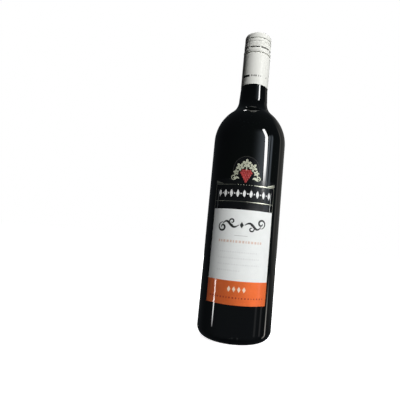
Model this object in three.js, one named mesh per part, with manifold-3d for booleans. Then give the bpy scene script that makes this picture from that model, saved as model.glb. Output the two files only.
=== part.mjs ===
// Wine bottle with a long-skirt screw cap and a wrapped front label.
// Millimetres, +Z up. The origin is the centre of the standing ring, on the surface that the bottle
// stands on, and the label faces -Y.

import * as THREE from 'three';
import { mergeVertices } from 'three/addons/utils/BufferGeometryUtils.js';
import Module from 'manifold-3d';

const wasm = await Module();
wasm.setup();

// Glass: straight side, round heel, push-up under the base, round shoulder and slim neck
const bodyRadius = 37.25;
const heelRadius = 10;
const puntRadius = 24;
const puntDepth = 14;
const shoulderZ = 197.5;
const shoulderRadius = 41.5;
const filletRadius = 18.5;
const neckFootRadius = 15.1;
const neckTopRadius = 14.2;
const mouthRadius = 13.2;

// Screw cap: rolled skirt edge, groove, tamper bead, perforated ring, ridged head and round top
const skirtZ = 259.1;
const capTopZ = 317.4;
const skirtRadius = 14.45;
const headRadius = 14.15;
const skirtEdge = 0.3;
const grooveZ = 294.4;
const grooveDepth = 0.45;
const grooveWidth = 1.4;
const beadRise = 0.4;
const perforationZ = 300.2;
const perforationHeight = 0.5;
const bridgeCount = 7;
const bridgeWidth = 1.4;
const firstBridge = 13; // degrees round from the middle of the label
const headRidgeZ = 306.8;
const headRidgeDepth = 0.2;
const creaseZ = 310.6;
const creaseDepth = 0.4;
const topRound = 3;
const capWall = 0.9;
const capClearance = 0.35;

// Label: heights on the bottle, widths unrolled along the glass
const labelHalfWidth = 32.2;
const labelBottomZ = 37.2;
const labelShoulderZ = 154.6;
const archTopZ = 177;
const archHalfWidth = 13.5;
const archFootRound = 3;
const labelThickness = 0.25;
const labelGap = 0.1;

// Facets
const turnSides = 72;
const profileStep = 9; // degrees of arc
const outlineDivisions = 5;
const weldDistance = 1e-4;

const degrees = THREE.MathUtils.radToDeg;
const radians = THREE.MathUtils.degToRad;
const point = (radius, z) => new THREE.Vector2(radius, z);

// Points of an arc in the plane of radius and height, between two angles in degrees
function arc(centreRadius, centreZ, radius, from, to) {
  const steps = Math.max(2, Math.ceil(Math.abs(to - from) / profileStep));
  return Array.from({ length: steps + 1 }, (_, step) => {
    const angle = radians(from + ((to - from) * step) / steps);
    return point(centreRadius + radius * Math.cos(angle), centreZ + radius * Math.sin(angle));
  });
}

// A pressed-in line round a wall, sharp at its lips and flat at its floor
function groove(radius, z, depth, width) {
  return [
    point(radius, z - width / 2),
    point(radius - depth, z - width / 6),
    point(radius - depth, z + width / 6),
    point(radius, z + width / 2),
  ];
}

// A raised round between two heights on a wall
function bead(radius, lowZ, highZ, rise) {
  const half = (highZ - lowZ) / 2;
  const round = (half * half + rise * rise) / (2 * rise);
  const reach = degrees(Math.asin(half / round));
  return arc(radius + rise - round, lowZ + half, round, -reach, reach);
}

// A solid of revolution about +Z from a profile that closes or ends on the axis
function turned(profile) {
  return new THREE.LatheGeometry(profile, turnSides).rotateX(Math.PI / 2);
}

// A closed geometry as a solid that can be cut
function toSolid(geometry) {
  const bare = geometry.clone();
  bare.deleteAttribute('normal');
  bare.deleteAttribute('uv');
  const welded = mergeVertices(bare, weldDistance);
  const index = welded.index.array;
  const triVerts = [];
  for (let i = 0; i < index.length; i += 3) {
    const [a, b, c] = [index[i], index[i + 1], index[i + 2]];
    if (a !== b && b !== c && c !== a) triVerts.push(a, b, c);
  }
  const mesh = new wasm.Mesh({
    numProp: 3,
    vertProperties: new Float32Array(welded.attributes.position.array),
    triVerts: new Uint32Array(triVerts),
  });
  return new wasm.Manifold(mesh);
}

// A cut solid as a geometry again
function toGeometry(solid) {
  const mesh = solid.getMesh();
  const geometry = new THREE.BufferGeometry();
  geometry.setAttribute('position', new THREE.BufferAttribute(mesh.vertProperties, 3));
  geometry.setIndex(new THREE.BufferAttribute(mesh.triVerts, 1));
  geometry.computeVertexNormals();
  return geometry;
}

function part(name, geometry, finish) {
  const mesh = new THREE.Mesh(geometry, new THREE.MeshStandardMaterial(finish));
  mesh.name = name;
  return mesh;
}

// The glass with what it holds is one solid. Its mouth is plain where the cap hides it.
function bottleGeometry() {
  const puntSphere = (puntRadius ** 2 + puntDepth ** 2) / (2 * puntDepth);
  const puntReach = degrees(Math.asin(puntRadius / puntSphere));
  const bend = shoulderRadius + filletRadius;
  const turn = degrees(Math.acos(1 - (bodyRadius - neckFootRadius) / bend));
  const neckZ = shoulderZ + bend * Math.sin(radians(turn));
  const ledgeZ = skirtZ - capClearance;
  const mouthZ = capTopZ - capWall - capClearance;
  return turned([
    ...arc(0, puntDepth - puntSphere, puntSphere, 90, 90 - puntReach),
    ...arc(bodyRadius - heelRadius, heelRadius, heelRadius, -90, 0),
    ...arc(bodyRadius - shoulderRadius, shoulderZ, shoulderRadius, 0, turn),
    ...arc(neckFootRadius + filletRadius, neckZ, filletRadius, 180 + turn, 180).slice(1),
    point(neckTopRadius, ledgeZ),
    point(mouthRadius, ledgeZ),
    point(mouthRadius, mouthZ),
    point(0, mouthZ),
  ]);
}

// A cup of thin sheet over the neck, perforated round the tamper line but for its bridges
function capGeometry() {
  const innerRadius = skirtRadius - capWall;
  const innerTopZ = capTopZ - capWall;
  const beadLowZ = grooveZ + grooveWidth / 2;
  const beadHighZ = perforationZ - perforationHeight;
  const shell = turned([
    point(0, innerTopZ),
    point(innerRadius, innerTopZ),
    point(innerRadius, skirtZ),
    point(skirtRadius - skirtEdge, skirtZ),
    point(skirtRadius, skirtZ + skirtEdge),
    ...groove(skirtRadius, grooveZ, grooveDepth, grooveWidth).slice(0, 3),
    ...bead(headRadius, beadLowZ, beadHighZ, beadRise),
    ...groove(headRadius, headRidgeZ, headRidgeDepth, grooveWidth),
    ...groove(headRadius, creaseZ, creaseDepth, grooveWidth),
    ...arc(headRadius - topRound, capTopZ - topRound, topRound, 0, 90),
    point(0, capTopZ),
  ]);
  return toGeometry(toSolid(shell).subtract(perforation(innerRadius)));
}

// The ring that is cut out of the cap, left uncut at each bridge
function perforation(innerRadius) {
  const [near, far] = [innerRadius - capWall, skirtRadius + capWall];
  const [low, high] = [perforationZ - perforationHeight / 2, perforationZ + perforationHeight / 2];
  let ring = toSolid(turned([
    point(near, low),
    point(far, low),
    point(far, high),
    point(near, high),
    point(near, low),
  ]));
  for (let i = 0; i < bridgeCount; i += 1) {
    const bridge = new THREE.BoxGeometry(bridgeWidth, far + capWall, 2 * perforationHeight);
    bridge.translate(0, -(far + capWall) / 2, perforationZ);
    bridge.rotateZ(radians(firstBridge + (i * 360) / bridgeCount));
    ring = ring.subtract(toSolid(bridge));
  }
  return ring;
}

// Outline of the unrolled label: a panel with a round-headed arch on its upper edge
function labelOutline() {
  const archZ = archTopZ - archHalfWidth;
  const footX = archHalfWidth + archFootRound;
  const footZ = labelShoulderZ + archFootRound;
  const outline = new THREE.Shape();
  outline.moveTo(-labelHalfWidth, labelBottomZ);
  outline.lineTo(labelHalfWidth, labelBottomZ);
  outline.lineTo(labelHalfWidth, labelShoulderZ);
  outline.absarc(footX, footZ, archFootRound, -Math.PI / 2, -Math.PI, true);
  outline.absarc(0, archZ, archHalfWidth, 0, Math.PI, false);
  outline.absarc(-footX, footZ, archFootRound, 0, -Math.PI / 2, true);
  outline.lineTo(-labelHalfWidth, labelShoulderZ);
  outline.closePath();
  return outline.getPoints(outlineDivisions);
}

// The label is a ring of paper round the glass, trimmed by its outline seen from the front
function labelGeometry() {
  const inner = bodyRadius + labelGap;
  const outer = inner + labelThickness;
  const wrapped = labelOutline().map(({ x, y }) => point(inner * Math.sin(x / inner), y));
  const trim = new THREE.ExtrudeGeometry(new THREE.Shape(wrapped), {
    depth: 2 * bodyRadius,
    bevelEnabled: false,
  }).rotateX(Math.PI / 2);
  const paper = turned([
    point(inner, 0),
    point(outer, 0),
    point(outer, shoulderZ),
    point(inner, shoulderZ),
    point(inner, 0),
  ]);
  return toGeometry(toSolid(paper).intersect(toSolid(trim)));
}

const wineBottle = new THREE.Group();
wineBottle.add(
  part('bottle', bottleGeometry(), { color: 0x0b0f0d, roughness: 0.06, metalness: 0 }),
  part('screw_cap', capGeometry(), { color: 0xe8e8e4, roughness: 0.38, metalness: 0.15 }),
  part('front_label', labelGeometry(), { color: 0xe4e6e5, roughness: 0.62, metalness: 0 }),
);

export default wineBottle;
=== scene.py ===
import math

import bmesh
import bpy
from mathutils import Matrix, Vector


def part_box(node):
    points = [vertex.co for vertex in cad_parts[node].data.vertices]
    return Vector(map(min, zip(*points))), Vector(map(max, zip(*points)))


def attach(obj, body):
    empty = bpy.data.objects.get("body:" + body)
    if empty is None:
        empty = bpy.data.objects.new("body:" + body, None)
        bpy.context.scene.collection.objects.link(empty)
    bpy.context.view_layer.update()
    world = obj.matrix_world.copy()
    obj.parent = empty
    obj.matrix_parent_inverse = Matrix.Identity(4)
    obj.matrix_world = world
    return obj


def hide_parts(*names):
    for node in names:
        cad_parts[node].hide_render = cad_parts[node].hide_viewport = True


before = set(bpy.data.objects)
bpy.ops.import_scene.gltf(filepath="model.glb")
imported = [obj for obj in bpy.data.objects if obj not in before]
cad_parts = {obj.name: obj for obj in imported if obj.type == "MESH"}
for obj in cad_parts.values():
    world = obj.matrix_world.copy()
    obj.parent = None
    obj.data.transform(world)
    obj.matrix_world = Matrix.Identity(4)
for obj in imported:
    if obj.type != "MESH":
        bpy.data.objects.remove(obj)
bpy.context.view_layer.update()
scene = bpy.context.scene
mm = 0.001
deg = math.pi / 180
fullTurn = 2 * math.pi
body = "root"
_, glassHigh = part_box("bottle")
capLow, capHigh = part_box("screw_cap")
labelLow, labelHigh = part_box("front_label")
glassRadius = glassHigh.x
print("frame loaded:", sorted(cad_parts))


# Node maths

class Wire:
    # a node socket that can be used in plain expressions
    def __init__(self, tree, socket=None):
        self.tree = tree
        self.socket = socket

    def plug(self, target, value):
        if isinstance(value, Wire):
            self.tree.links.new(value.socket, target)
        else:
            target.default_value = value

    def node(self, kind, settings=None, inputs=None, out=0):
        made = self.tree.nodes.new(kind)
        for key, value in (settings or {}).items():
            setattr(made, key, value)
        for key, value in (inputs or {}).items():
            self.plug(made.inputs[key], value)
        return Wire(self.tree, made.outputs[out])

    def math(self, operation, first, second=0.0):
        return self.node("ShaderNodeMath", {"operation": operation}, {0: first, 1: second})

    def __add__(self, other):
        return self.math("ADD", self, other)

    def __radd__(self, other):
        return self.math("ADD", other, self)

    def __sub__(self, other):
        return self.math("SUBTRACT", self, other)

    def __rsub__(self, other):
        return self.math("SUBTRACT", other, self)

    def __mul__(self, other):
        return self.math("MULTIPLY", self, other)

    def __rmul__(self, other):
        return self.math("MULTIPLY", other, self)

    def __truediv__(self, other):
        return self.math("DIVIDE", self, other)

    def __mod__(self, other):
        return self.math("FLOORED_MODULO", self, other)

    def band(self, low, high):
        # 0 below low, 1 above high, smooth between
        return self.node("ShaderNodeMapRange", {"interpolation_type": "SMOOTHSTEP"},
                         {"Value": self, "From Min": low, "From Max": high})

    def blend(self, first, second):
        # one colour where the mask is 0, the other where it is 1
        return self.node("ShaderNodeMix", {"data_type": "RGBA"}, {0: self, 6: first, 7: second}, out=2)


# Finishes

def newFinish(name, colour, roughness, fixed=None):
    material = bpy.data.materials.new(name)
    material.use_nodes = True
    material.diffuse_color = (*colour, 1)
    shader = material.node_tree.nodes["Principled BSDF"]
    shader.inputs["Base Color"].default_value = (*colour, 1)
    shader.inputs["Roughness"].default_value = roughness
    for key, value in (fixed or {}).items():
        shader.inputs[key].default_value = value
    wire = Wire(material.node_tree)
    place = wire.node("ShaderNodeTexCoord", out="Object")
    return material, shader, wire, place


def noise(wire, place, scale, detail, stretch=None):
    if stretch:
        place = wire.node("ShaderNodeMapping", None, {"Vector": place, "Scale": stretch})
    return wire.node("ShaderNodeTexNoise", None,
                     {"Vector": place, "Scale": scale, "Detail": detail, "Roughness": 0.55})


def pattern(wire, place, look):
    return noise(wire, place, look["scale"], look["detail"], look.get("stretch"))


def patches(wire, place, look):
    # soft patches of a pattern: 1 inside them, 0 outside
    return pattern(wire, place, look).band(*look["band"])


def relief(wire, height, depth, strength=1.0, under=None):
    inputs = {"Height": height, "Distance": depth, "Strength": strength}
    if under:
        inputs["Normal"] = under
    return wire.node("ShaderNodeBump", None, inputs)


# the scale of a pattern, here and below, is a count in a metre
glassLook = {
    "tint": (0.0016, 0.0022, 0.0019),
    "deepTint": (0.0011, 0.0014, 0.0016),
    "gloss": (0.015, 0.06),      # clean glass and smudged glass
    "ior": 1.52,
    "cloud": {"scale": 9.0, "detail": 3.0, "band": (0.35, 0.65)},
    "smudge": {"scale": 38.0, "detail": 5.0, "band": (0.52, 0.78), "share": 0.55},
    "wipe": {"scale": 60.0, "detail": 4.0, "stretch": (1.0, 1.0, 0.12), "band": (0.5, 0.75), "share": 0.25},
    "speck": {"scale": 2600.0, "detail": 2.0, "band": (0.74, 0.8), "share": 0.5},
    "wave": {"scale": 14.0, "detail": 1.0, "depth": 0.22 * mm},            # slow waves left by the mould
    "seam": {"width": 0.45 * mm, "depth": 0.12 * mm, "strength": 0.6},     # mould seam down both sides
}


def darkGlass():
    look = glassLook
    clean, smudged = look["gloss"]
    wave, seam = look["wave"], look["seam"]
    material, shader, wire, place = newFinish("darkGlass", look["tint"], clean, {"IOR": look["ior"]})
    smudge, wipe, speck = [patches(wire, place, look[kind]) * look[kind]["share"]
                           for kind in ("smudge", "wipe", "speck")]
    wire.plug(shader.inputs["Roughness"], clean + (smudge + wipe + speck) * (smudged - clean))
    cloud = patches(wire, place, look["cloud"])
    wire.plug(shader.inputs["Base Color"], cloud.blend((*look["tint"], 1), (*look["deepTint"], 1)))
    across = wire.node("ShaderNodeSeparateXYZ", None, {0: place}, out="Y")
    ridge = 1 - wire.math("ABSOLUTE", across).band(0.0, seam["width"])
    waves = relief(wire, pattern(wire, place, wave), wave["depth"])
    wire.plug(shader.inputs["Normal"], relief(wire, ridge, seam["depth"], seam["strength"], waves))
    return material


capLook = {
    "paint": (0.70, 0.705, 0.665),
    "shade": (0.64, 0.645, 0.60),
    "gloss": (0.26, 0.36),       # fresh paint and handled paint
    "shine": 0.11,               # a satin paint mirrors little
    "handled": {"scale": 110.0, "detail": 5.0, "band": (0.4, 0.75), "share": 0.2},
    "rub": {"scale": 420.0, "detail": 3.0, "stretch": (1.0, 1.0, 0.08), "band": (0.56, 0.72), "share": 0.2},
    "rubDulls": 0.06,
    "skin": {"scale": 1500.0, "detail": 2.0, "depth": 0.012 * mm, "strength": 0.7},   # of the stoved paint
}


def capPaint():
    look = capLook
    fresh, worn = look["gloss"]
    skin = look["skin"]
    material, shader, wire, place = newFinish("capPaint", look["paint"], fresh,
                                              {"Specular IOR Level": look["shine"]})
    handled, rub = patches(wire, place, look["handled"]), patches(wire, place, look["rub"])
    shaded = handled * look["handled"]["share"] + rub * look["rub"]["share"]
    wire.plug(shader.inputs["Base Color"], shaded.blend((*look["paint"], 1), (*look["shade"], 1)))
    wire.plug(shader.inputs["Roughness"], fresh + (handled * (worn - fresh) + rub * look["rubDulls"]))
    wire.plug(shader.inputs["Normal"],
              relief(wire, pattern(wire, place, skin), skin["depth"], skin["strength"]))
    return material


sheetLook = {
    "fibreDetail": 4.0,
    "cloudDetail": 3.0,
    "cloudScale": 0.06,          # of the fibre's own scale
    "shares": (0.6, 0.4),        # of fibre and cloud in the mottled colour
    "band": (0.38, 0.62),
    "sheen": (0.12, 0.1),        # how far fibre and cloud sway the roughness
    "tooth": 0.6,
}


def sheetFinish(name, colour, other, roughness, grain, fixed=None):
    # paper, varnish and ink: mottled colour, a fine tooth and an uneven sheen
    look = sheetLook
    scale, depth = grain
    material, shader, wire, place = newFinish(name, colour, roughness, fixed)
    fibre = noise(wire, place, scale, look["fibreDetail"])
    cloud = noise(wire, place, scale * look["cloudScale"], look["cloudDetail"])
    mottle = (fibre * look["shares"][0] + cloud * look["shares"][1]).band(*look["band"])
    wire.plug(shader.inputs["Base Color"], mottle.blend((*colour, 1), (*other, 1)))
    sway = (fibre - 0.5) * look["sheen"][0] + (cloud - 0.5) * look["sheen"][1]
    wire.plug(shader.inputs["Roughness"], roughness + sway)
    wire.plug(shader.inputs["Normal"], relief(wire, fibre, depth, look["tooth"]))
    return material


foilLook = {
    "brush": {"scale": 900.0, "detail": 3.0, "stretch": (0.2, 0.2, 1.0)},
    "brushDepth": 0.01 * mm,
    "brushStrength": 0.5,
    "thin": {"scale": 700.0, "detail": 4.0, "band": (0.55, 0.8), "share": 0.6},
    "sheen": 0.25,               # how far the brushing sways the roughness
}


def foilFinish(name, colour, other, roughness, metallic):
    # stamped foil: brushed round the glass, with thin spots
    look = foilLook
    material, shader, wire, place = newFinish(name, colour, roughness, {"Metallic": metallic})
    brush = pattern(wire, place, look["brush"])
    thin = patches(wire, place, look["thin"]) * look["thin"]["share"]
    wire.plug(shader.inputs["Base Color"], thin.blend((*colour, 1), (*other, 1)))
    wire.plug(shader.inputs["Roughness"], roughness + (brush - 0.5) * look["sheen"])
    wire.plug(shader.inputs["Normal"], relief(wire, brush, look["brushDepth"], look["brushStrength"]))
    return material


# grain of each kind of sheet: its fibres in a metre and their depth
paper, varnish, berrySkin = (2600.0, 0.02 * mm), (1800.0, 0.002 * mm), (2200.0, 0.01 * mm)
thickInk, thinInk = (2600.0, 0.008 * mm), (2600.0, 0.006 * mm)
# each finish has its colour, the colour it is mottled with, and its roughness
finishes = {
    "glass": darkGlass(),
    "cap": capPaint(),
    "white": sheetFinish("whitePaper", (0.745, 0.765, 0.755), (0.70, 0.72, 0.71), 0.75, paper),
    "orange": sheetFinish("orangeVarnish", (0.87, 0.172, 0.036), (0.81, 0.152, 0.030), 0.58, varnish,
                          {"Metallic": 0.47, "Coat Weight": 1.0, "Coat Roughness": 0.06}),
    "black": sheetFinish("blackVarnish", (0.0035, 0.004, 0.0045), (0.005, 0.0055, 0.006), 0.13, varnish),
    "gold": foilFinish("goldFoil", (0.62, 0.62, 0.50), (0.44, 0.44, 0.34), 0.34, 1.0),
    "silver": foilFinish("silverFoil", (0.62, 0.63, 0.605), (0.44, 0.44, 0.43), 0.34, 1.0),
    "cream": foilFinish("creamFoil", (0.56, 0.58, 0.45), (0.38, 0.40, 0.29), 0.42, 0.25),
    "berry": sheetFinish("berryInk", (0.40, 0.047, 0.047), (0.27, 0.028, 0.026), 0.36, berrySkin),
    "pale": sheetFinish("paleInk", (0.74, 0.75, 0.745), (0.66, 0.67, 0.66), 0.45, thickInk),
    "ink": sheetFinish("blackInk", (0.008, 0.009, 0.009), (0.014, 0.015, 0.014), 0.5, thinInk),
    "vein": sheetFinish("veinInk", (0.05, 0.05, 0.04), (0.035, 0.035, 0.028), 0.5, thinInk),
    "grey": sheetFinish("greyInk", (0.44, 0.45, 0.445), (0.38, 0.39, 0.385), 0.6, thinInk),
    "faint": sheetFinish("faintInk", (0.66, 0.675, 0.67), (0.62, 0.635, 0.63), 0.6, thinInk),
    "tan": sheetFinish("tanInk", (0.64, 0.50, 0.43), (0.59, 0.45, 0.38), 0.6, thinInk),
    "butter": sheetFinish("butterInk", (0.84, 0.66, 0.50), (0.77, 0.57, 0.41), 0.4, thickInk),
    "wineRed": sheetFinish("wineRedInk", (0.34, 0.018, 0.006), (0.28, 0.014, 0.005), 0.6, thinInk),
}
print("finishes made:", len(finishes))


# Geometry node trees

def newTree(name, sockets):
    tree = bpy.data.node_groups.new(name, "GeometryNodeTree")
    for title, kind in sockets.items():
        tree.interface.new_socket(title, in_out="INPUT", socket_type="NodeSocket" + kind)
    tree.interface.new_socket("Geometry", in_out="OUTPUT", socket_type="NodeSocketGeometry")
    entry = tree.nodes.new("NodeGroupInput")
    return tree, Wire(tree), {title: Wire(tree, entry.outputs[title]) for title in sockets}


def endTree(tree, wire, geometry, material):
    real = wire.node("GeometryNodeRealizeInstances", None, {"Geometry": geometry})
    coloured = wire.node("GeometryNodeSetMaterial", None, {"Geometry": real, "Material": material})
    wire.plug(tree.nodes.new("NodeGroupOutput").inputs[0], coloured)
    return tree


def roundAxis(wire, radius, angle, height):
    # a place at that radius, turned round from the front of the bottle
    return wire.node("ShaderNodeCombineXYZ", None, {
        "X": radius * wire.math("SINE", angle),
        "Y": radius * wire.math("COSINE", angle) * -1.0,
        "Z": height,
    })


def turningTree():
    # turns a line of points, each at its radius and height, round the bottle's axis
    tree, wire, given = newTree("turnProfile", {
        "Profile": "Object", "Sides": "Int", "Material": "Material",
    })
    profile = wire.node("GeometryNodeObjectInfo", None, {"Object": given["Profile"]}, out="Geometry")
    rows = wire.node("GeometryNodeAttributeDomainSize", None, {"Geometry": profile}, out="Point Count")
    sheet = wire.node("GeometryNodeMeshGrid", None,
                      {"Vertices X": given["Sides"] + 1, "Vertices Y": rows})
    index = wire.node("GeometryNodeInputIndex")
    point = wire.node("GeometryNodeSampleIndex", {"data_type": "FLOAT_VECTOR"}, {
        "Geometry": profile,
        "Value": wire.node("GeometryNodeInputPosition"),
        "Index": index % rows,
    })
    angle = wire.math("FLOOR", index / rows) * fullTurn / given["Sides"]
    radius, height = [wire.node("ShaderNodeSeparateXYZ", None, {0: point}, out=axis) for axis in "XZ"]
    turned = wire.node("GeometryNodeSetPosition", None,
                       {"Geometry": sheet, "Position": roundAxis(wire, radius, angle, height)})
    closed = wire.node("GeometryNodeMergeByDistance", None,
                       {"Geometry": turned, "Distance": 0.002 * mm})
    return endTree(tree, wire, closed, given["Material"])


def ringTree():
    # sets copies of one item side by side round the bottle's axis
    tree, wire, given = newTree("ringOfItems", {
        "Item": "Object", "Count": "Int", "First": "Float", "Step": "Float",
        "Radius": "Float", "Height": "Float", "Material": "Material",
    })
    item = wire.node("GeometryNodeObjectInfo", None, {"Object": given["Item"]}, out="Geometry")
    line = wire.node("GeometryNodeMeshLine", None, {"Count": given["Count"]})
    angle = given["First"] + wire.node("GeometryNodeInputIndex") * given["Step"]
    place = roundAxis(wire, given["Radius"], angle, given["Height"])
    spots = wire.node("GeometryNodeSetPosition", None, {"Geometry": line, "Position": place})
    facing = wire.node("ShaderNodeCombineXYZ", None, {"Z": angle})
    copies = wire.node("GeometryNodeInstanceOnPoints", None,
                       {"Points": spots, "Instance": item, "Rotation": facing})
    return endTree(tree, wire, copies, given["Material"])


turnProfile = turningTree()
ringOfItems = ringTree()


def newObject(name, data):
    made = bpy.data.objects.new(name, data)
    scene.collection.objects.link(made)
    return made


def growMesh(name, tree, values):
    # runs a tree on an empty carrier and keeps its result as a plain mesh
    carrier = newObject(name + "Carrier", bpy.data.meshes.new(name + "Carrier"))
    modifier = carrier.modifiers.new("grow", "NODES")
    modifier.node_group = tree
    for socket in tree.interface.items_tree:
        if socket.in_out == "INPUT" and socket.name in values:
            modifier[socket.identifier] = values[socket.name]
    ready = carrier.evaluated_get(bpy.context.evaluated_depsgraph_get())
    mesh = bpy.data.meshes.new_from_object(ready)
    mesh.name = name
    bpy.data.objects.remove(carrier)
    return mesh


def turn(name, profile, sides, material):
    line = bpy.data.meshes.new(name + "Line")
    line.from_pydata([(r, 0, z) for r, z in profile], [(i, i + 1) for i in range(len(profile) - 1)], [])
    holder = newObject(name + "Line", line)
    mesh = growMesh(name, turnProfile, {"Profile": holder, "Sides": sides, "Material": material})
    bpy.data.objects.remove(holder)
    return mesh


def ringOf(name, itemMesh, material, count, first, step, radius, height):
    holder = newObject(name + "Item", itemMesh)
    mesh = growMesh(name, ringOfItems, {
        "Item": holder, "Count": count, "First": first, "Step": step,
        "Radius": radius, "Height": height, "Material": material,
    })
    bpy.data.objects.remove(holder)
    return mesh


def keepMesh(name, made):
    mesh = bpy.data.meshes.new(name)
    made.to_mesh(mesh)
    made.free()
    return mesh


def joinMeshes(name, meshes):
    # one mesh of several closed shells, keeping each one's finish
    whole = bmesh.new()
    materials = []
    for mesh in meshes:
        start = len(whole.faces)
        whole.from_mesh(mesh)
        whole.faces.ensure_lookup_table()
        for face in whole.faces[start:]:
            material = mesh.materials[face.material_index]
            if material not in materials:
                materials.append(material)
            face.material_index = materials.index(material)
    joined = keepMesh(name, whole)
    for material in materials:
        joined.materials.append(material)
    return joined


# edges steeper than these stay crisp
sharpOnRound, sharpOnSheet = 50 * deg, 40 * deg


def finishPiece(name, mesh, sharpAngle, node=None):
    mesh.polygons.foreach_set("use_smooth", [True] * len(mesh.polygons))
    mesh.set_sharp_from_angle(angle=sharpAngle)
    piece = newObject(name, mesh)
    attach(piece, body)
    if node:
        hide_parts(node)
    print("piece", name, "faces", len(mesh.polygons))


def arc(centreR, centreZ, radius, start, end, stepAngle):
    steps = max(2, math.ceil(abs(end - start) / stepAngle))
    angles = [(start + (end - start) * i / steps) * deg for i in range(steps + 1)]
    return [(centreR + radius * math.cos(a), centreZ + radius * math.sin(a)) for a in angles]


def dome(name, width, rise, sides=12, rings=4):
    # a low round bump, half of it sunk in the surface it sits on
    made = bmesh.new()
    bmesh.ops.create_uvsphere(made, u_segments=sides, v_segments=rings * 2, radius=1)
    bmesh.ops.rotate(made, verts=made.verts, matrix=Matrix.Rotation(math.pi / 2, 3, "X"))
    for v in made.verts:
        v.co = (v.co.x * width, v.co.y * rise, v.co.z * width)
    return keepMesh(name, made)


# Glass bottle

glass = {
    "sides": 192,
    "stepAngle": 2.5,
    "heelRadius": 10 * mm,
    "puntRadius": 24 * mm,
    "puntDepth": 14 * mm,
    "shoulderZ": 197.5 * mm,
    "shoulderRadius": 41.5 * mm,
    "filletRadius": 18.5 * mm,
    "neckFootRadius": 15.1 * mm,
    "neckTopRadius": 14.2 * mm,
    "tuck": 2.4 * mm,            # neck that runs on under the cap's skirt
    "mouthRadius": 12.9 * mm,
    "sideRows": 24,
}
heelDots = {
    "count": 2,
    "first": -1.7 * deg,
    "step": 7.8 * deg,
    "size": 1.4 * mm,
    "rise": 0.84 * mm,
    "height": 7.9 * mm,
}


def glassProfile():
    g = glass
    heel, shoulder, fillet, step = g["heelRadius"], g["shoulderRadius"], g["filletRadius"], g["stepAngle"]
    sphere = (g["puntRadius"] ** 2 + g["puntDepth"] ** 2) / (2 * g["puntDepth"])
    reach = math.asin(g["puntRadius"] / sphere) / deg
    bend = shoulder + fillet
    swing = math.acos(1 - (glassRadius - g["neckFootRadius"]) / bend) / deg
    neckZ = g["shoulderZ"] + bend * math.sin(swing * deg)
    ledgeZ = capLow.z + g["tuck"]
    rise = (g["shoulderZ"] - heel) / g["sideRows"]
    profile = arc(0, g["puntDepth"] - sphere, sphere, 90, 90 - reach, step)
    profile += arc(glassRadius - heel, heel, heel, -90, 0, step)
    profile += [(glassRadius, heel + rise * i) for i in range(1, g["sideRows"])]
    profile += arc(glassRadius - shoulder, g["shoulderZ"], shoulder, 0, swing, step)
    profile += arc(g["neckFootRadius"] + fillet, neckZ, fillet, 180 + swing, 180, step)[1:]
    profile += [(g["neckTopRadius"], capLow.z), (g["neckTopRadius"], ledgeZ)]
    profile += [(g["mouthRadius"], ledgeZ), (g["mouthRadius"], glassHigh.z), (0, glassHigh.z)]
    return profile


def heelRadiusAt(z):
    lift = glass["heelRadius"] - z
    return glassRadius - glass["heelRadius"] + math.sqrt(glass["heelRadius"] ** 2 - lift ** 2)


def glassBottle():
    d = heelDots
    bottleMesh = turn("glassBody", glassProfile(), glass["sides"], finishes["glass"])
    dotMesh = ringOf("heelDotRing", dome("heelDot", d["size"], d["rise"]), finishes["glass"],
                     d["count"], d["first"], d["step"], heelRadiusAt(d["height"]), d["height"])
    whole = joinMeshes("glassBottle", [bottleMesh, dotMesh])
    finishPiece("glassBottle", whole, sharpOnRound, "bottle")


glassBottle()


# Screw cap

cap = {
    "sides": 192,
    "stepAngle": 9,
    "skirtRadius": 14.45 * mm,
    "headRadius": 14.15 * mm,
    "sheet": 0.22 * mm,
    "wall": 1.35 * mm,
    "tuckGap": 0.3 * mm,         # above the neck's ledge under the skirt
    "grooveZ": 294.4 * mm,
    "grooveDepth": 1.1 * mm,
    "grooveWidth": 1.75 * mm,
    "beadFoot": 0.75,            # above the groove's middle, in widths of the groove
    "beadRise": 0.4 * mm,
    "slitZ": 300.4 * mm,
    "slitHeight": 1.2 * mm,
    "slitLip": 0.4 * mm,         # how thin the metal is beside the slit
    "slitBack": 1.5 * mm,        # how far that thin metal reaches
    "ridgeZ": 306.8 * mm,
    "ridgeDepth": 0.35 * mm,
    "ridgeWidth": 0.9 * mm,
    "creaseZ": 310.6 * mm,
    "creaseDepth": 0.8 * mm,
    "creaseWidth": 1.1 * mm,
    "topRound": 3 * mm,
    "topStepRadius": 9.6 * mm,
    "topStep": 0.18 * mm,
    "edge": 0.12 * mm,
    "lip": 0.13,                 # lips and bends of a rolled line, in widths of the line
    "bend": 0.1,
}
bridges = {
    "count": 7,
    "first": 13 * deg,
    "width": 1.3 * mm,
    "depth": 1.05 * mm,
    "bite": 0.1 * mm,            # into the metal above and below the slit
    "inset": 0.05 * mm,
}
ribs = {
    "count": 96,
    "width": 0.5 * mm,
    "rise": 0.16 * mm,
    "lowZ": 301.6 * mm,
    "highZ": 305.9 * mm,
    "taper": 0.35,
}


def pressed(radius, z, depth, width, step):
    # a rolled line: two soft lips and level walls, with wider steps on such small bends
    half, lip, bend = width / 2, width * cap["lip"], width * cap["bend"]
    low, high, floor = z - half + lip, z + half - lip, radius - depth
    points = arc(radius - lip, z - half, lip, 0, 90, step * 2)
    points += arc(floor + bend, low + bend, bend, 270, 180, step * 3)
    points += arc(floor + bend, high - bend, bend, 180, 90, step * 3)
    points += arc(radius - lip, z + half, lip, -90, 0, step * 2)
    return points


def beadArc(radius, lowZ, highZ, rise, step):
    half = (highZ - lowZ) / 2
    curve = (half ** 2 + rise ** 2) / (2 * rise)
    reach = math.asin(half / curve) / deg
    return arc(radius + rise - curve, lowZ + half, curve, -reach, reach, step / 2)


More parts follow.
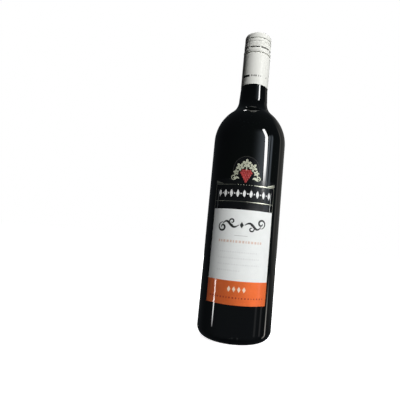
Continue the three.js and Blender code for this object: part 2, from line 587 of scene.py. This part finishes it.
def capProfiles():
    c = cap
    step, edge, back, head = c["stepAngle"], c["edge"], c["slitBack"], c["headRadius"]
    inner, slim, thin = c["skirtRadius"] - c["wall"], c["skirtRadius"] - c["sheet"], head - c["slitLip"]
    slitLow, slitHigh = c["slitZ"] - c["slitHeight"] / 2, c["slitZ"] + c["slitHeight"] / 2
    tuckZ = capLow.z + glass["tuck"] + c["tuckGap"]
    beadZ = c["grooveZ"] + c["grooveWidth"] * c["beadFoot"]
    skirt = [(thin, slitLow), (thin, slitLow - back), (inner, slitLow - back)]
    skirt += [(inner, tuckZ), (slim, tuckZ), (slim, capLow.z)]
    skirt += arc(c["skirtRadius"] - edge, capLow.z + edge, edge, -90, 0, step * 2)
    skirt += pressed(c["skirtRadius"], c["grooveZ"], c["grooveDepth"], c["grooveWidth"], step)
    skirt += beadArc(head, beadZ, slitLow - edge, c["beadRise"], step)
    skirt += [(head - edge, slitLow), (thin, slitLow)]
    top = [(0, capHigh.z - c["wall"]), (inner, capHigh.z - c["wall"])]
    top += [(inner, slitHigh + back), (thin, slitHigh + back), (thin, slitHigh)]
    top += [(head - edge, slitHigh), (head, slitHigh + edge)]
    top += pressed(head, c["ridgeZ"], c["ridgeDepth"], c["ridgeWidth"], step)
    top += pressed(head, c["creaseZ"], c["creaseDepth"], c["creaseWidth"], step)
    top += arc(head - c["topRound"], capHigh.z - c["topRound"], c["topRound"], 0, 90, step)
    top += [(c["topStepRadius"] + c["topStep"], capHigh.z)]
    top += [(c["topStepRadius"], capHigh.z - c["topStep"]), (0, capHigh.z - c["topStep"])]
    return skirt, top


def bridgeBlock(name):
    made = bmesh.new()
    bmesh.ops.create_cube(made, size=1)
    height = cap["slitHeight"] + 2 * bridges["bite"]
    for v in made.verts:
        v.co = (v.co.x * bridges["width"], v.co.y * bridges["depth"], v.co.z * height)
    return keepMesh(name, made)


def ribBar(name):
    # an upright rib with tapered ends, half of it sunk in the cap
    height = ribs["highZ"] - ribs["lowZ"]
    made = bmesh.new()
    bmesh.ops.create_uvsphere(made, u_segments=10, v_segments=8, radius=1)
    for v in made.verts:
        end = math.copysign(abs(v.co.z) ** ribs["taper"], v.co.z)
        v.co = (v.co.x * ribs["width"] / 2, v.co.y * ribs["rise"], end * height / 2)
    return keepMesh(name, made)


def screwCap():
    paint = finishes["cap"]
    skirtLine, topLine = capProfiles()
    bridgeRadius = cap["headRadius"] - bridges["depth"] / 2 - bridges["inset"]
    meshes = [
        turn("capSkirt", skirtLine, cap["sides"], paint),
        turn("capHead", topLine, cap["sides"], paint),
        ringOf("capBridges", bridgeBlock("bridge"), paint, bridges["count"], bridges["first"],
               fullTurn / bridges["count"], bridgeRadius, cap["slitZ"]),
        ringOf("capRibs", ribBar("rib"), paint, ribs["count"], 0.0, fullTurn / ribs["count"],
               cap["headRadius"], (ribs["lowZ"] + ribs["highZ"]) / 2),
    ]
    finishPiece("screwCap", joinMeshes("screwCap", meshes), sharpOnSheet, "screw_cap")


screwCap()


# Flat shapes that are wrapped round the glass, in metres along the glass and up it

def panel(left, right, low, high):
    return [(left, low), (right, low), (right, high), (left, high)]


def lozenge(s, z, halfWide, halfTall):
    return [(s, z - halfTall), (s + halfWide, z), (s, z + halfTall), (s - halfWide, z)]


def mirrored(loop):
    return [(-s, z) for s, z in reversed(loop)]


def spread(count, pitch):
    # places side by side, with their middle at the front
    return [(i - (count - 1) / 2) * pitch for i in range(count)]


def along(steps):
    # even steps from 0 to 1
    return [i / steps for i in range(steps + 1)]


def cutSheet(loops, step):
    # outlines become faces cut in narrow upright strips, which can bend
    made = bmesh.new()
    for slot, loop in loops:
        made.faces.new([made.verts.new((s, z, 0)) for s, z in loop]).material_index = slot
    bmesh.ops.remove_doubles(made, verts=made.verts, dist=1e-7)
    bmesh.ops.triangulate(made, faces=made.faces[:], ngon_method="EAR_CLIP")
    across = [v.co.x for v in made.verts]
    for i in range(math.ceil(min(across) / step), math.floor(max(across) / step) + 1):
        bmesh.ops.bisect_plane(made, geom=made.verts[:] + made.edges[:] + made.faces[:], dist=1e-8,
                               plane_co=(i * step, 0, 0), plane_no=(1, 0, 0))
    made.verts.index_update()
    points = [(v.co.x, v.co.y) for v in made.verts]
    faces = [([v.index for v in f.verts], f.material_index) for f in made.faces]
    made.free()
    return points, faces


def wrapSheet(name, points, faces, inner, outer, materials):
    # gives flat faces a thickness and bends them round the axis
    count = len(points)
    verts = [(r * math.sin(s / outer), -r * math.cos(s / outer), z)
             for r in (outer, inner) for s, z in points]
    whole, slots = [], []
    edges = {(loop[i - 1], loop[i]) for loop, _ in faces for i in range(len(loop))}
    for loop, slot in faces:
        whole += [loop, [count + i for i in reversed(loop)]]
        slots += [slot, slot]
        for i in range(len(loop)):
            a, b = loop[i - 1], loop[i]
            if (b, a) not in edges:
                whole.append([count + a, count + b, b, a])
                slots.append(slot)
    mesh = bpy.data.meshes.new(name)
    mesh.from_pydata(verts, [], whole)
    for material in materials:
        mesh.materials.append(material)
    mesh.polygons.foreach_set("material_index", slots)
    mesh.update()
    return mesh


# Label

label = {
    "halfWidth": 32.2 * mm,
    "margin": 0.9 * mm,          # black border beside the white and orange fields
    "whiteLow": 59.1 * mm,
    "whiteHigh": 125.3 * mm,
    "shoulderZ": 154.6 * mm,
    "archHalfWidth": 13.5 * mm,
    "archFoot": 3 * mm,
    "archSteps": 28,
    "footStep": 15,              # degrees from point to point on the curve at the arch's foot
    "lift": 0.03 * mm,           # glue line under the paper
    "paper": 0.15 * mm,
    "strip": 0.65 * mm,          # width of the flat strips that follow the glass
    "print": 0.05 * mm,          # how far ink and foil stand proud
    "sink": 0.03 * mm,
}
labelRadius = glassRadius + label["lift"] + label["paper"]


def archLine(inset=0.0):
    # the raised middle of the label's top edge, from right to left
    high, foot = label["shoulderZ"] - inset, label["archFoot"] + inset
    arch, step = label["archHalfWidth"] - inset, label["footStep"]
    line = arc(arch + foot, high + foot, foot, -90, -180, step)
    line += arc(0, labelHigh.z - label["archHalfWidth"], arch, 0, 180, 180 / label["archSteps"])
    line += arc(-arch - foot, high + foot, foot, 0, -90, step)
    return line


def labelFields():
    # fields that share their edges, each with the name of its finish
    half, low, split, high = label["halfWidth"], labelLow.z, label["whiteLow"], label["whiteHigh"]
    field = half - label["margin"]
    border = [(field, low), (half, low), (half, high), (field, high), (field, split)]
    top = [(-half, high), (-field, high), (field, high), (half, high), (half, label["shoulderZ"])]
    top += archLine() + [(-half, label["shoulderZ"])]
    return [("white", panel(-field, field, split, high)), ("orange", panel(-field, field, low, split)),
            ("black", border), ("black", mirrored(border)), ("black", top)]


def frontLabel():
    colours = ["white", "orange", "black"]
    fields = [(colours.index(colour), loop) for colour, loop in labelFields()]
    points, faces = cutSheet(fields, label["strip"])
    mesh = wrapSheet("frontLabel", points, faces, glassRadius + label["lift"], labelRadius,
                     [finishes[colour] for colour in colours])
    finishPiece("frontLabel", mesh, sharpOnSheet, "front_label")


frontLabel()


# Print on the label

def wrapPrint(name, points, faces, finish, proud):
    mesh = wrapSheet(name, points, faces, labelRadius - label["sink"], labelRadius + proud,
                     [finishes[finish]])
    finishPiece(name, mesh, sharpOnSheet)


def printPiece(name, loops, finish, proud=label["print"]):
    points, faces = cutSheet([(0, loop) for loop in loops], label["strip"])
    wrapPrint(name, points, faces, finish, proud)


def strokePiece(name, strokes, finish, proud=label["print"]):
    # pen strokes of changing width, as strips of small faces
    points, faces = [], []
    for path, widths in strokes:
        start = len(points)
        for i, (s, z) in enumerate(path):
            back, ahead = path[max(i - 1, 0)], path[min(i + 1, len(path) - 1)]
            run = math.hypot(ahead[0] - back[0], ahead[1] - back[1])
            across = ((back[1] - ahead[1]) / run, (ahead[0] - back[0]) / run)
            points += [(s + across[0] * widths[i] / 2, z + across[1] * widths[i] / 2),
                       (s - across[0] * widths[i] / 2, z - across[1] * widths[i] / 2)]
        for i in range(start, len(points) - 2, 2):
            faces.append(([i, i + 1, i + 3, i + 2], 0))
    wrapPrint(name, points, faces, finish, proud)


rules = {
    "upperZ": 148.9 * mm,
    "lowerZ": 132.9 * mm,
    "thick": 0.52 * mm,
    "gap": 8.6 * mm,             # half of the break in the upper rule under the emblem
    "edge": 0.45 * mm,           # from the label's side edge to the upright rule
    "uprightThick": 0.45 * mm,
    "uprightGaps": (0.13 * mm, 0.27 * mm),   # from an upright to the upper and the lower rule
    "innerOffset": 4.4 * mm,
    "innerGap": 0.156 * mm,
    "innerDrop": 5 * mm,         # from the upper rule down to the inner upright
    "wedgeLength": 9.6 * mm,
    "wedgeHeight": 3.9 * mm,
    "wedgeGap": 0.78 * mm,
    "wedgeTilt": 0.156 * mm,
}
ruleBeads = {"count": 6, "pitch": 2.6 * mm, "half": 0.42 * mm}   # small marks in the break


def goldRules():
    r = rules
    half, thin = r["thick"] / 2, r["uprightThick"]
    side = label["halfWidth"] - r["edge"]
    upper, lower, foot = r["upperZ"], r["lowerZ"], label["whiteHigh"] + half
    upperGap, lowerGap = r["uprightGaps"]
    wedgeFoot = upper + r["wedgeGap"]
    right = [
        panel(r["gap"], side, upper - half, upper + half),
        panel(side - thin, side, foot, upper - half - upperGap),
        [(side - r["wedgeLength"], wedgeFoot), (side + half, wedgeFoot + r["wedgeTilt"]),
         (side + half, upper + r["wedgeHeight"] + half)],
    ]
    reach = side - thin - lowerGap
    lowerRule = panel(-reach, reach, lower - half, lower + half)
    printPiece("goldRules", right + [mirrored(loop) for loop in right] + [lowerRule], "gold")
    inner = side - r["innerOffset"]
    low = panel(inner, inner + thin, foot, lower - half - r["innerGap"])
    high = panel(inner, inner + thin, lower + half + r["innerGap"], upper - r["innerDrop"])
    printPiece("silverRules", [low, high, mirrored(low), mirrored(high)], "silver")
    spots = spread(ruleBeads["count"], ruleBeads["pitch"])
    wide = ruleBeads["half"]
    printPiece("ruleBeads", [lozenge(s, upper, wide, wide) for s in spots], "cream")


emblem = {
    "berry": 1.27 * mm,
    "berryRise": 0.5 * mm,
    "rows": (4, 5, 4, 3, 2, 1),
    "topZ": 162.4 * mm,
    "rowDrop": 2.06 * mm,
    "pitch": 2.36 * mm,
    "leafProud": 0.12 * mm,
    "lobes": 5,
    "lobeDepth": 0.6,            # depths are shares of the leaf's size
    "teeth": 20,
    "toothDepth": 0.05,
    "notch": 0.25,
    "veinReach": (0.86, 0.78),   # of the vein to the tip and of the others
    "veinWidth": 0.42 * mm,
    "veinTaper": 0.8,
    "hairlineInset": 0.7 * mm,
    "hairlineWidth": 0.22 * mm,
    "hairlineProud": 0.03 * mm,
}
# where each leaf's middle is, its size and the way its tip points; those off the middle are mirrored
emblemLeaves = [
    {"s": 0.0 * mm, "z": 169.4 * mm, "size": 4.4 * mm, "points": 90 * deg},
    {"s": 6.2 * mm, "z": 165.9 * mm, "size": 4.1 * mm, "points": 52 * deg},
    {"s": 9.7 * mm, "z": 160.6 * mm, "size": 2.9 * mm, "points": 12 * deg},
]
tendril = {
    "ribbonFrom": (6.6 * mm, 154.6 * mm),
    "ribbonLength": 5.4 * mm,
    "ribbonWave": 1.1 * mm,
    "ribbonWidths": (0.6 * mm, 2.0 * mm),
    "curlAt": (12.0 * mm, 156.0 * mm),
    "curlRadii": (2.4 * mm, 0.5 * mm),
    "curlStart": -100 * deg,
    "curlTurns": 1.2,
    "curlWidths": (0.45 * mm, 0.8 * mm),
    "stalkLength": 5 * mm,
    "stalkWidth": 0.9 * mm,
    "proud": 0.08 * mm,
}


def vineLeaf(leaf, steps=100):
    # toothed lobes and a notch at the stalk
    e = emblem
    loop = []
    for i in range(steps):
        a = (i + 0.5) / steps * fullTurn - math.pi
        lobe = 1 - e["lobeDepth"] * (1 - abs(math.cos(e["lobes"] / 2 * a)))
        lobe += e["toothDepth"] * math.cos(e["teeth"] * a)
        r = leaf["size"] * lobe * (1 - e["notch"] * abs(a / math.pi) ** 6)
        turnBy = a + leaf["points"]
        loop.append((leaf["s"] + r * math.cos(turnBy), leaf["z"] + r * math.sin(turnBy)))
    return loop


def leafVeins(leaf, steps=6):
    # one vein along each lobe, from the stalk out
    e = emblem
    tipReach, sideReach = e["veinReach"]
    pair = e["lobes"] // 2
    widths = [e["veinWidth"] * (1 - e["veinTaper"] * t) for t in along(steps)]
    strokes = []
    for lobe in range(-pair, pair + 1):
        a = leaf["points"] + lobe * fullTurn / e["lobes"]
        reach = leaf["size"] * (sideReach if lobe else tipReach)
        path = [(leaf["s"] + reach * math.cos(a) * t, leaf["z"] + reach * math.sin(a) * t)
                for t in along(steps)]
        strokes.append((path, widths))
    return strokes


def spiral(centreS, centreZ, outer, inner, start, turns, steps=46):
    path = []
    for t in along(steps):
        a = start + turns * fullTurn * t
        r = outer + (inner - outer) * t
        path.append((centreS + r * math.cos(a), centreZ + r * math.sin(a)))
    return path


def swelling(count, thin, thick):
    return [thin + (thick - thin) * math.sin(math.pi * i / (count - 1)) for i in range(count)]


def vineTendrils():
    # a wavy ribbon and a curl to each side, and the stalk of the bunch
    v = tendril
    startS, startZ = v["ribbonFrom"]
    ribbon = [(startS + v["ribbonLength"] * t, startZ + v["ribbonWave"] * math.sin(1.5 * math.pi * t))
              for t in along(20)]
    curl = spiral(*v["curlAt"], *v["curlRadii"], v["curlStart"], v["curlTurns"])
    strokes = []
    for side in (1, -1):
        for path, widths in ((ribbon, v["ribbonWidths"]), (curl, v["curlWidths"])):
            strokes.append(([(side * s, z) for s, z in path], swelling(len(path), *widths)))
    stalk = [(0, emblem["topZ"] + v["stalkLength"] * t) for t in along(8)]
    strokes.append((stalk, [v["stalkWidth"]] * len(stalk)))
    strokePiece("vineTendrils", strokes, "cream", v["proud"])


def grapeEmblem():
    e = emblem
    step = e["pitch"] / labelRadius
    rows = []
    for i, count in enumerate(e["rows"]):
        rows.append(ringOf("berryRow%d" % i, dome("berry", e["berry"], e["berryRise"]), finishes["berry"],
                           count, -(count - 1) / 2 * step, step, labelRadius, e["topZ"] - i * e["rowDrop"]))
    finishPiece("grapeBerries", joinMeshes("grapeBerries", rows), sharpOnRound)
    leaves = emblemLeaves + [dict(leaf, s=-leaf["s"], points=math.pi - leaf["points"])
                             for leaf in emblemLeaves if leaf["s"]]
    printPiece("vineLeaves", [vineLeaf(leaf) for leaf in leaves], "cream", e["leafProud"])
    veins = [stroke for leaf in leaves for stroke in leafVeins(leaf)]
    strokePiece("leafVeins", veins, "vein", e["leafProud"] + label["print"])
    vineTendrils()
    outline = archLine(e["hairlineInset"])
    widths = [e["hairlineWidth"]] * len(outline)
    strokePiece("archHairline", [(outline, widths)], "vein", e["hairlineProud"])


frieze = {
    "z": 140.6 * mm,
    "count": 9,
    "pitch": 6.3 * mm,
    "leafWide": 3.0 * mm,
    "leafTall": 7.6 * mm,
    "dot": 0.7 * mm,
    "dotRise": 0.09 * mm,
}


def petal(centreS, centreZ, wide, tall, steps=16):
    # an upright leaf shape with pointed ends
    half = [(wide / 2 * math.sin(math.pi * t) ** 1.2, tall * (t - 0.5)) for t in along(steps)[:-1]]
    return [(centreS + s, centreZ + z) for s, z in half] + [(centreS - s, centreZ - z) for s, z in half]


def leafFrieze():
    f = frieze
    spots = spread(f["count"], f["pitch"])
    printPiece("friezePetals", [petal(s, f["z"], f["leafWide"], f["leafTall"]) for s in spots], "pale")
    step = f["pitch"] / labelRadius
    between = f["count"] - 1
    dots = ringOf("friezeDots", dome("friezeDot", f["dot"], f["dotRise"]), finishes["pale"],
                  between, -(between - 1) / 2 * step, step, labelRadius, f["z"])
    finishPiece("friezeDots", dots, sharpOnRound)


flourish = {
    "z": 110.8 * mm,
    "start": 2.6 * mm,
    "reach": 16.4 * mm,
    "rise": 3.4 * mm,
    "thin": 0.45 * mm,
    "thick": 2.3 * mm,
    "heart": (1.9 * mm, 3.1 * mm),
}
# the curls of a scroll: how far along it, the middle's height, the radii at start and end,
# where each starts, its turns, whether it hangs, and how thick it swells
flourishCurls = [
    {"at": 1.0, "lift": 2.695 * mm, "radii": (4.655 * mm, 0.9 * mm), "from": -100 * deg, "turns": 1.35,
     "steps": 70, "flip": 1, "swell": 0.8},
    {"at": 0.42, "lift": 3.1 * mm, "radii": (3.1 * mm, 0.8 * mm), "from": -110 * deg, "turns": 1.2,
     "steps": 60, "flip": -1, "swell": 0.62},
]


def penFlourish():
    # a scroll to each side of a lozenge, the left one turned half round
    f = flourish
    wave = [(f["start"] + f["reach"] * t, f["rise"] * math.sin(fullTurn * t) * (1 + t) / 2)
            for t in along(60)]
    parts = [(wave, 1, 1.0)]
    for c in flourishCurls:
        middle = f["start"] + f["reach"] * c["at"]
        curl = spiral(middle, c["lift"], *c["radii"], c["from"], c["turns"], c["steps"])
        parts.append((curl, c["flip"], c["swell"]))
    strokes = []
    for side in (1, -1):
        for path, flip, swell in parts:
            placed = [(side * s, f["z"] + side * flip * z) for s, z in path]
            strokes.append((placed, swelling(len(placed), f["thin"], f["thick"] * swell)))
    strokePiece("penFlourish", strokes, "ink")
    printPiece("flourishHeart", [lozenge(0, f["z"], *f["heart"])], "ink")


smallPrint = {
    "shortRule": {"half": 6.3 * mm, "z": 100.8 * mm, "thick": 0.45 * mm},
    "tanLine": {"left": -21.8 * mm, "right": 21.8 * mm, "z": 95.2 * mm, "tall": 2.2 * mm,
                "longest": 2.2 * mm, "gap": 1.2 * mm, "phase": 0.4},
    "faintLines": {"left": -21 * mm, "rights": (17 * mm, 20 * mm, 20 * mm, 2 * mm), "z": 85.4 * mm,
                   "drop": 5.7 * mm, "tall": 1.3 * mm, "longest": 1.6 * mm, "gap": 0.8 * mm,
                   "phaseStep": 0.7},
    "wineRedLine": {"left": -27 * mm, "right": 28 * mm, "z": 43.8 * mm, "tall": 1.3 * mm,
                    "longest": 1.3 * mm, "gap": 1.9 * mm, "phase": 1.1},
    "shortest": 0.45,            # the shortest bar as a share of the longest
    "stride": 2.4,               # how the lengths change from bar to bar
}


def dashes(line):
    # a line of short bars of uneven length
    shortest, stride = smallPrint["shortest"], smallPrint["stride"]
    low, high = line["z"] - line["tall"] / 2, line["z"] + line["tall"] / 2
    loops = []
    at = line["left"]
    while at < line["right"] - line["gap"]:
        sway = abs(math.sin(line["phase"] + stride * len(loops)))
        length = line["longest"] * (shortest + (1 - shortest) * sway)
        loops.append(panel(at, min(at + length, line["right"]), low, high))
        at += length + line["gap"]
    return loops


def quietLines():
    rule, faint = smallPrint["shortRule"], smallPrint["faintLines"]
    half, thick = rule["half"], rule["thick"]
    printPiece("shortRule", [panel(-half, half, rule["z"] - thick / 2, rule["z"] + thick / 2)], "grey")
    rows = []
    for i, right in enumerate(faint["rights"]):
        z, phase = faint["z"] - i * faint["drop"], i * faint["phaseStep"]
        rows += dashes(dict(faint, right=right, z=z, phase=phase))
    printPiece("faintLines", rows, "faint")
    printPiece("tanLine", dashes(smallPrint["tanLine"]), "tan")
    printPiece("wineRedLine", dashes(smallPrint["wineRedLine"]), "wineRed")


lozenges = {"z": 51.6 * mm, "count": 4, "pitch": 4.75 * mm, "wide": 3.1 * mm, "tall": 5.4 * mm}


def lozengeRow():
    row = lozenges
    spots = spread(row["count"], row["pitch"])
    loops = [lozenge(s, row["z"], row["wide"] / 2, row["tall"] / 2) for s in spots]
    printPiece("butterLozenges", loops, "butter")


goldRules()
grapeEmblem()
leafFrieze()
penFlourish()
quietLines()
lozengeRow()
print("label printed")


# Marks round the cap's skirt

skirtMarks = {
    "z": 268.3 * mm,
    "proud": 0.03 * mm,
    "strip": 0.4 * mm,
    "repeats": 2,
    "barAt": -41 * deg,
    "barWide": 8.4 * mm,
    "barTall": 2.4 * mm,
    "dotTall": 1.7 * mm,
    # where each dot is, in degrees, and its width in millimetres
    "dots": ((-14, 1.2), (-4.5, 1.0), (3.5, 1.1), (14, 0.6), (24, 0.5), (52, 0.8), (80, 0.9)),
}


def skirtPrint():
    # bars with dots between them, repeated round the skirt
    m = skirtMarks
    inner, outer = cap["skirtRadius"] - m["proud"], cap["skirtRadius"] + m["proud"]

    def mark(angle, wide, tall):
        middle = angle * outer
        return panel(middle - wide / 2, middle + wide / 2, m["z"] - tall / 2, m["z"] + tall / 2)

    loops = []
    for i in range(m["repeats"]):
        start = i * fullTurn / m["repeats"]
        loops.append(mark(start + m["barAt"], m["barWide"], m["barTall"]))
        loops += [mark(start + at * deg, wide * mm, m["dotTall"]) for at, wide in m["dots"]]
    points, faces = cutSheet([(0, loop) for loop in loops], m["strip"])
    mesh = wrapSheet("skirtMarks", points, faces, inner, outer, [finishes["ink"]])
    finishPiece("skirtMarks", mesh, sharpOnSheet)


skirtPrint()


# Floor, light and camera

floorLook = {
    "size": 8.0,
    "drop": 0.1 * mm,            # under the bottle's foot
    "paint": (0.9, 0.9, 0.9),
    "roughness": 0.9,
    "near": (0.92, 0.92, 0.92),  # its own glow, painted light: dimmer round the bottle as a painted shadow, full far off
    "far": (1.0, 1.0, 1.0),
    "fade": (0.25, 0.9),
}


def paleFloor():
    mesh = bpy.data.meshes.new("floor")
    half, low = floorLook["size"] / 2, -floorLook["drop"]
    corners = [(x, y, low) for x, y in panel(-half, half, -half, half)]
    mesh.from_pydata(corners, [], [(0, 1, 2, 3)])
    floor = newObject("floor", mesh)
    material, shader, wire, place = newFinish("floorPaint", floorLook["paint"], floorLook["roughness"],
                                              {"Emission Strength": 1.0, "Specular IOR Level": 0.0})
    # the floor glows less round the bottle, a painted shadow about its foot, and fully far off, painted
    # light where the lamps fall off
    away = wire.node("ShaderNodeVectorMath", {"operation": "LENGTH"}, {0: place}, out="Value")
    paintedShadeGlow = away.band(*floorLook["fade"]).blend((*floorLook["near"], 1), (*floorLook["far"], 1))
    wire.plug(shader.inputs["Emission Color"], paintedShadeGlow)
    mesh.materials.append(material)
    floor.visible_glossy = False
    floor.visible_diffuse = False
    floor.visible_shadow = False


cool, warm, plain = (0.85, 0.97, 1.1), (1.0, 0.96, 0.88), (1.0, 1.0, 1.0)
# each light serves the gloss or the paint; angles are in degrees, sizes and places in metres
rig = {
    "keyWindow": {"serves": "gloss", "azimuth": 51.7, "distance": 0.9, "height": 0.55, "wide": 0.14,
                  "tall": 0.65, "radiance": 24.0, "lean": 20.0, "fade": (0, 0.2, 1, 2)},
    "lowLeftStrip": {"serves": "gloss", "azimuth": -68.3, "distance": 0.9, "height": -0.115, "wide": 0.05342,
                     "tall": 0.19, "radiance": 16.8, "fade": (-0.12, 0.4, 0.8, 1.4)},
    "lowRightStrip": {"serves": "gloss", "azimuth": 108.2, "distance": 0.9, "height": -0.285, "wide": 0.0723,
                      "tall": 0.53, "radiance": 3.2, "colour": warm, "fade": (-1, 0, 0.6, 1.08)},
    "paintKey": {"serves": "paint", "azimuth": 37.5, "distance": 1.3, "height": 0.75, "wide": 0.4,
                 "tall": 0.7, "radiance": 30.0, "tip": 24.0},
    "labelFill": {"serves": "paint", "azimuth": -15.0, "distance": 0.6, "height": 0.09, "wide": 0.12,
                  "tall": 0.12, "radiance": 0.42, "grid": 40.0},
    "backFill": {"serves": "paint", "azimuth": -168.0, "distance": 1.3, "height": 0.75, "wide": 0.6,
                 "tall": 0.7, "radiance": 12.0, "tip": 24.0},
    "ceilingLamp": {"serves": "gloss", "azimuth": -150.8, "distance": 0.596, "height": 1.6, "wide": 0.13,
                    "tall": 0.13, "radiance": 7.0, "tip": 70.0},
}
room = {"ambient": 0.02, "gloss": 0.04, "backdrop": 1.0}   # what paint, gloss and camera see all round
# soft lights for the gloss alone: where each starts, is full, ends being full and ends,
# in degrees round from the front and as a slope upwards; a higher power fades faster
gleams = [
    {"round": (-110, -40, 60, 110), "up": (-2.0, -0.3, -0.25, 0.1), "radiance": 0.06, "colour": cool},
    {"round": (-8, 50, 50, 54), "up": (0.0, 0.18, 0.45, 0.95), "radiance": 1.3, "colour": cool, "power": 3},
    {"round": (62, 65, 67, 71), "up": (0.0, 0.16, 0.34, 0.46), "radiance": 1.9, "colour": cool},
    {"round": (71, 75, 77, 82), "up": (0.0, 0.16, 0.34, 0.50), "radiance": 1.4, "colour": cool},
    {"round": (66, 69, 71, 75), "up": (-0.19, -0.13, -0.11, -0.09), "radiance": 1.1, "colour": cool},
    {"round": (61, 64, 67, 71), "up": (-0.36, -0.28, -0.2, -0.1), "radiance": 0.25, "colour": plain},
    {"round": (81, 84, 86, 90), "up": (-0.36, -0.28, -0.2, -0.1), "radiance": 0.35, "colour": plain},
    {"round": (0, 50, 66, 94), "up": (-0.11, -0.02, 0.0, 0.08), "radiance": 8.2, "colour": plain},
    {"round": (113, 117, 118, 123), "up": (-0.1, 0.05, 0.5, 0.9), "radiance": 0.4, "colour": warm},
    {"round": (112, 124, 158, 172), "up": (-0.3, 0.0, 0.6, 1.2), "radiance": 0.14, "colour": warm},
]


def within(value, stops):
    start, full, fullEnd, end = stops
    return value.band(start, full) * (1 - value.band(fullEnd, end))


def fadeEnds(light, stops):
    # dims the ends of a light, from 0 at its foot to 1 at its top
    light.use_nodes = True
    wire = Wire(light.node_tree)
    place = wire.node("ShaderNodeNewGeometry", out="Parametric")
    height = wire.node("ShaderNodeSeparateXYZ", None, {0: place}, out="Y")
    wire.plug(light.node_tree.nodes["Emission"].inputs["Strength"], within(height, stops))


def areaLight(name, serves, azimuth, distance, height, wide, tall, radiance,
              colour=plain, lean=0.0, tip=0.0, grid=180.0, fade=None):
    # a light that faces the bottle's axis from that side
    light = bpy.data.lights.new(name, "AREA")
    light.shape = "RECTANGLE"
    light.size, light.size_y = wide, tall
    light.energy = radiance * math.pi * wide * tall
    light.color = colour
    light.spread = grid * deg
    if fade:
        fadeEnds(light, fade)
    holder = newObject(name, light)
    holder.location = (distance * math.sin(azimuth * deg), -distance * math.cos(azimuth * deg), height)
    holder.rotation_euler = (math.pi / 2 - tip * deg, -lean * deg, azimuth * deg)
    holder.visible_camera = False
    holder.visible_diffuse = serves == "paint"
    holder.visible_glossy = serves == "gloss"


def backdrop(wire, colour, strength):
    return wire.node("ShaderNodeBackground", None, {"Color": (*colour, 1), "Strength": strength})


def softRoom(wire):
    # the dim room and soft windows that the gloss mirrors
    toward = wire.node("ShaderNodeTexCoord", out="Generated")
    x, y, z = [wire.node("ShaderNodeSeparateXYZ", None, {0: toward}, out=axis) for axis in "XYZ"]
    azimuth = wire.math("ARCTAN2", x, y * -1.0) / deg
    slope = z / wire.math("SQRT", x * x + y * y + 1e-6)   # the last term keeps straight up finite
    whole = backdrop(wire, cool, room["gloss"])
    for gleam in gleams:
        shape = within(azimuth, gleam["round"]) * within(slope, gleam["up"])
        strength = wire.math("POWER", shape, gleam.get("power", 1)) * gleam["radiance"]
        lit = backdrop(wire, gleam["colour"], strength)
        whole = wire.node("ShaderNodeAddShader", None, {0: whole, 1: lit})
    return whole


def studioWorld():
    world = bpy.data.worlds.new("studioWorld")
    scene.world = world
    world.use_nodes = True
    tree = world.node_tree
    tree.nodes.clear()
    wire = Wire(tree)
    seen, glossy = [wire.node("ShaderNodeLightPath", out=ray) for ray in ("Is Camera Ray", "Is Glossy Ray")]
    around = wire.node("ShaderNodeMixShader", None,
                       {0: glossy, 1: backdrop(wire, plain, room["ambient"]), 2: softRoom(wire)})
    sky = wire.node("ShaderNodeMixShader", None,
                    {0: seen, 1: around, 2: backdrop(wire, plain, room["backdrop"])})
    wire.plug(tree.nodes.new("ShaderNodeOutputWorld").inputs["Surface"], sky)


view = {
    "round": 1.2,                # degrees round the bottle from the label's middle
    "distance": 364.2 * mm,
    "height": 100.1 * mm,
    "yaw": -2.481,
    "pitch": 5.637,
    "roll": 5.15,
    "lens": 31.43,
    "sensor": 36.0,
    "shift": (-0.0739, 0.0026),  # the photograph is a crop off its lens's middle
    "clip": 10 * mm,
}


def setCamera():
    lens = bpy.data.cameras.new("camera")
    lens.sensor_width = view["sensor"]
    lens.lens = view["lens"]
    lens.shift_x, lens.shift_y = view["shift"]
    lens.clip_start = view["clip"]
    camera = newObject("camera", lens)
    camera.matrix_world = (
        Matrix.Rotation(view["round"] * deg, 4, "Z")
        @ Matrix.Translation((0, -view["distance"], view["height"]))
        @ Matrix.Rotation(-view["yaw"] * deg, 4, "Z")
        @ Matrix.Rotation(math.pi / 2 + view["pitch"] * deg, 4, "X")
        @ Matrix.Rotation(view["roll"] * deg, 4, "Z")
    )
    scene.camera = camera


paleFloor()
for lightName, values in rig.items():
    areaLight(lightName, **values)
studioWorld()
setCamera()
scene.view_settings.view_transform = "Standard"
print("stage set")
